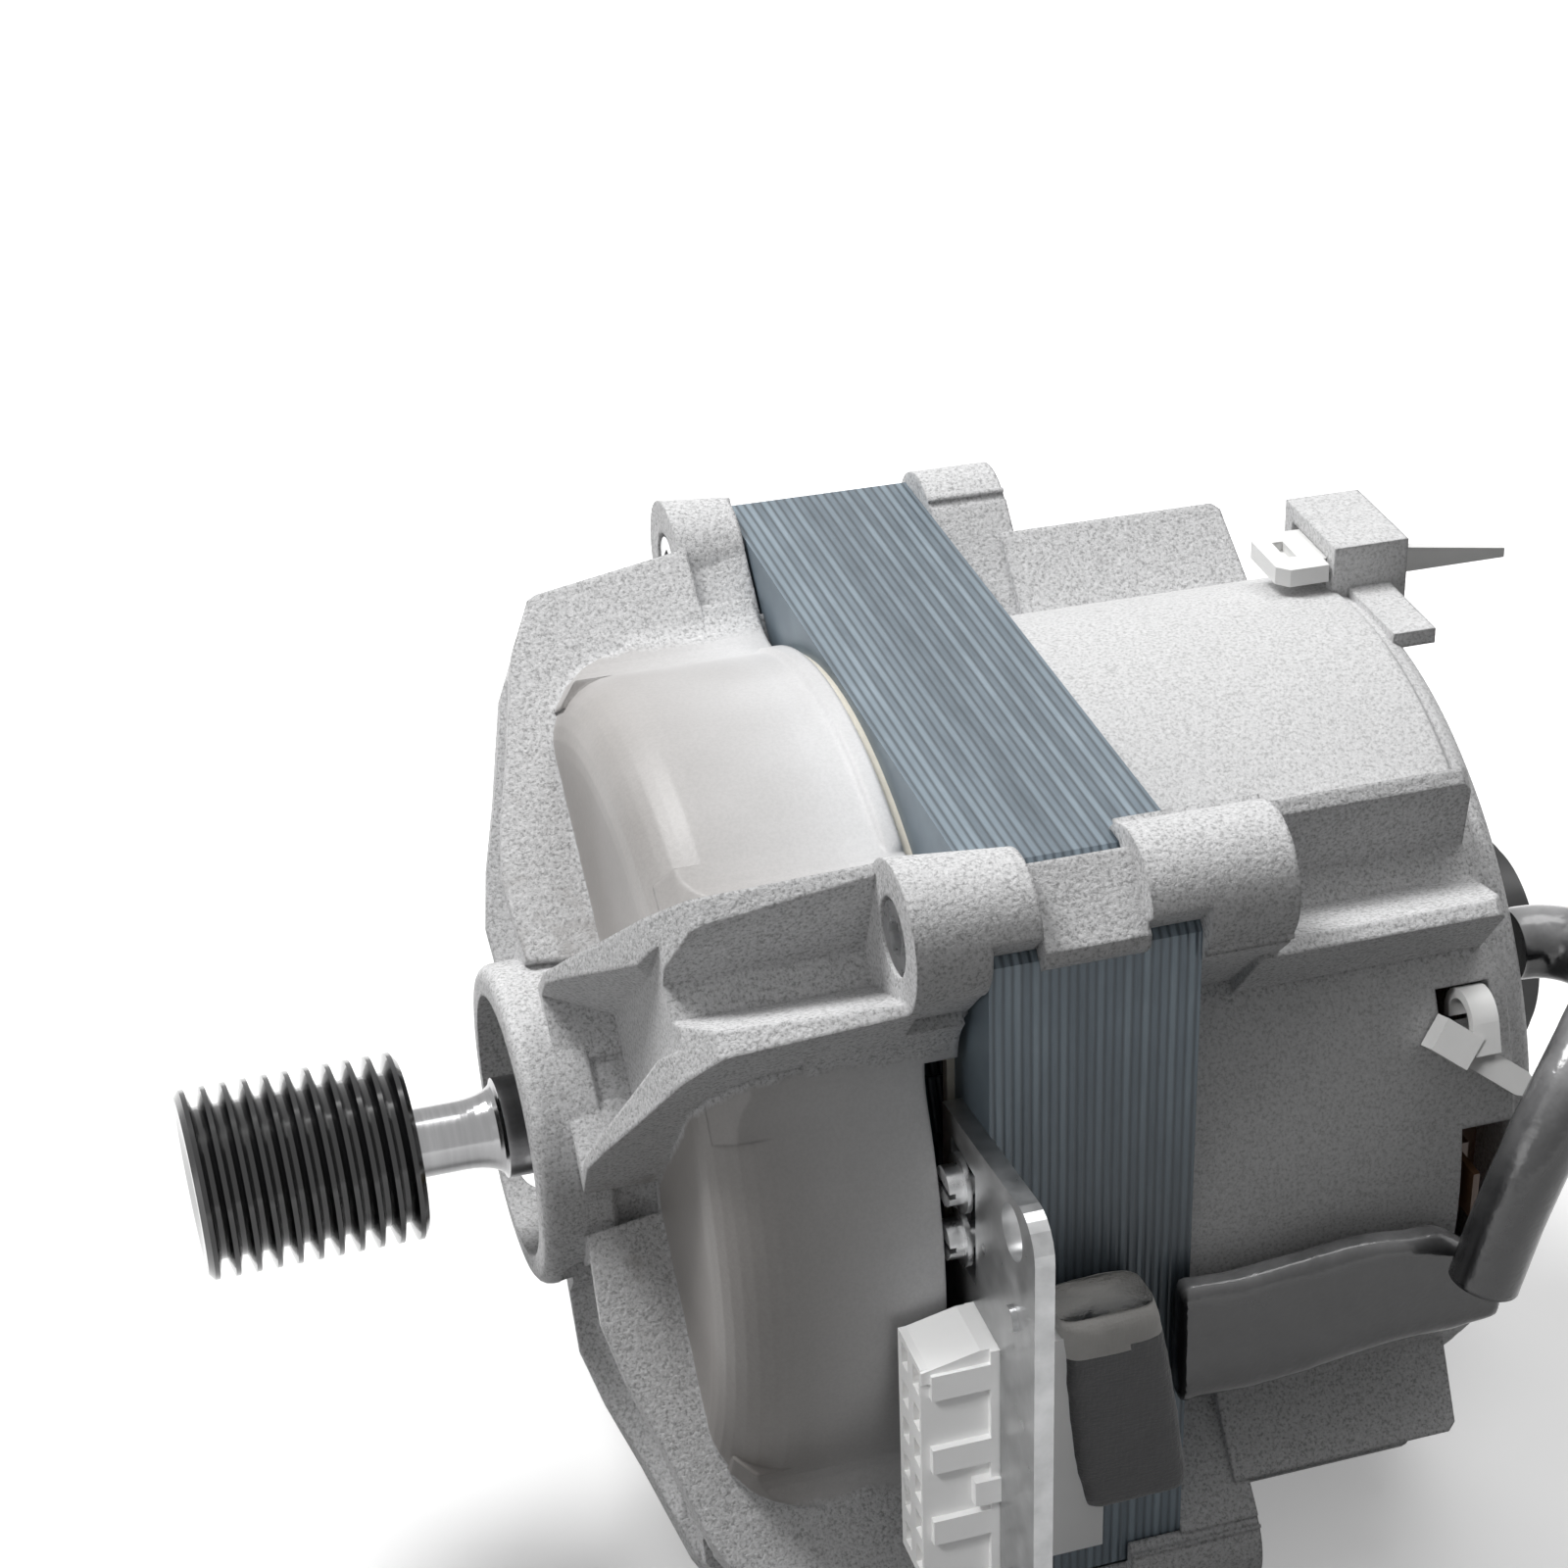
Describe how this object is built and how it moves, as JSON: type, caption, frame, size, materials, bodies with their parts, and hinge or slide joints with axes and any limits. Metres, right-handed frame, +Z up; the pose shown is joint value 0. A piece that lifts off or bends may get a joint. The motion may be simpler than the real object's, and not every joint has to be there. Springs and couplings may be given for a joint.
{
  "type": "washing machine motor",
  "caption": "Belt-drive universal motor with ribbed cast end shields round a square lamination stack, a grooved pulley on its shaft and a side connector on a steel bracket.",
  "frame": {"origin": "on the shaft axis, in the plane of the rear corner bosses' rear faces, at the centre of their four threaded holes", "axes": "+X along the shaft from the pulley to the rear shield, +Z up with the lamination flats level, -Y the side with the connector"},
  "size_m": [0.1666, 0.1255, 0.1093],
  "materials": {
    "cast_front": "sand-cast, satin",
    "cast_rear": "sand-cast, satin",
    "laminations": "blue-grey stacked sheet edges",
    "insulation": "cream moulded",
    "copper_wire": "enamelled copper",
    "screw_steel": "zinc plated",
    "bearing_steel": "ground",
    "cage_brass": "satin",
    "shaft_steel": "turned and polished",
    "commutator_copper": "turned copper",
    "fan_plastic": "moulded",
    "pulley_black": "glossy black coated",
    "brush_box": "moulded",
    "carbon": "pressed carbon",
    "spring_steel": "drawn wire",
    "magnet": "sintered",
    "coil_black": "wound coil in black tape",
    "cap_black": "moulded",
    "bracket_steel": "zinc plated sheet",
    "plug_white": "moulded nylon",
    "contact_brass": "tinned",
    "tape_black": "wrapped fabric tape",
    "sleeve_black": "glossy flat sleeve",
    "tie_white": "nylon"
  },
  "bodies": {
    "frame": {"front_shield": "cast_front", "rear_shield": "cast_rear", "stator_stack": "laminations", "insulator_front": "insulation", "insulator_rear": "insulation", "field_coil_upper": "copper_wire", "field_coil_lower": "copper_wire", "clamp_screws": "screw_steel", "front_bearing_outer": "bearing_steel", "rear_bearing_outer": "bearing_steel", "wave_washer": "spring_steel", "brush_holder_near": "brush_box", "brush_holder_far": "brush_box", "brush_spring_near": "spring_steel", "brush_spring_far": "spring_steel", "brush_holder_screws": "screw_steel", "tacho_coil": "coil_black", "tacho_cap": "cap_black", "connector_bracket": "bracket_steel", "bracket_screws": "screw_steel", "connector_housing": "plug_white", "connector_terminals": "contact_brass", "connector_boot": "tape_black", "harness_sleeve": "sleeve_black", "harness_tube": "sleeve_black", "cable_tie_top": "tie_white", "cable_tie_side": "tie_white"},
    "rotor": {"rotor_shaft": "shaft_steel", "rotor_stack": "laminations", "armature_winding": "copper_wire", "commutator": "commutator_copper", "rotor_fan": "fan_plastic", "pulley": "pulley_black", "front_bearing_inner": "bearing_steel", "rear_bearing_inner": "bearing_steel", "tacho_magnet": "magnet"},
    "front_cage": {"front_bearing_balls": "cage_brass"},
    "rear_cage": {"rear_bearing_balls": "cage_brass"},
    "brush_near": {"brush_near": "carbon"},
    "brush_far": {"brush_far": "carbon"}
  },
  "joints": [
    {"name": "rotor_spin", "type": "hinge", "parent": "frame", "child": "rotor", "pos_m": [0, 0, 0], "axis": [1, 0, 0], "continuous": true},
    {"name": "front_cage_spin", "type": "hinge", "parent": "frame", "child": "front_cage", "pos_m": [0, 0, 0], "axis": [1, 0, 0], "continuous": true},
    {"name": "rear_cage_spin", "type": "hinge", "parent": "frame", "child": "rear_cage", "pos_m": [0, 0, 0], "axis": [1, 0, 0], "continuous": true},
    {"name": "brush_near_slide", "type": "slide", "parent": "frame", "child": "brush_near", "axis": [0, -1, 0], "range_m": [0, 0.0075], "stiffness_N_per_m": 150, "springref_m": -0.012, "deforming": ["brush_spring_near"]},
    {"name": "brush_far_slide", "type": "slide", "parent": "frame", "child": "brush_far", "axis": [0, 1, 0], "range_m": [0, 0.0075], "stiffness_N_per_m": 150, "springref_m": -0.012, "deforming": ["brush_spring_far"]}
  ],
  "couplings": [
    {"joint": "front_cage_spin", "follows": "rotor_spin", "ratio": 0.3864},
    {"joint": "rear_cage_spin", "follows": "rotor_spin", "ratio": 0.3833}
  ]
}
